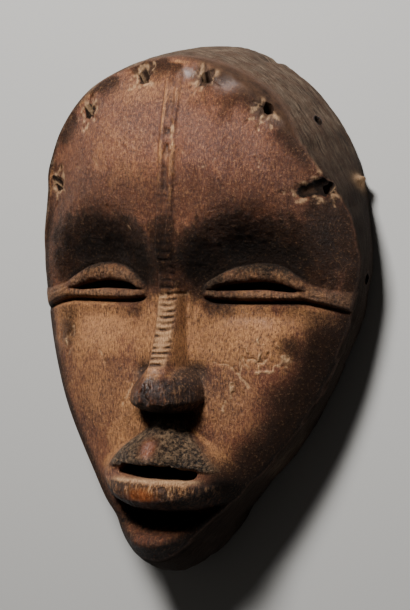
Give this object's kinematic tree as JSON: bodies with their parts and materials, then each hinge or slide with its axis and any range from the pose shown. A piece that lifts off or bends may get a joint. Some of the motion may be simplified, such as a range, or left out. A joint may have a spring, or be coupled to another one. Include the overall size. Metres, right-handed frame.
{
  "type": "dan mask",
  "caption": "Carved wooden face mask with a high forehead, slit eyes, pierced mouth, small chin, a hollow back and tie holes along its border.",
  "frame": {"origin": "under the middle of the outline, on the plane of the flat back rim that the mask lies on", "axes": "+Z out of the face, +Y towards the crown, +X to the viewer's right when the face is seen from in front"},
  "size_m": [0.1558, 0.2384, 0.0707],
  "materials": {
    "mask": "aged hardwood, rubbed glossy on the forehead and lips, crusted dark in the eye hollows, bare and dry on the sides"
  },
  "bodies": {
    "root": {"mask": "mask"}
  },
  "joints": []
}
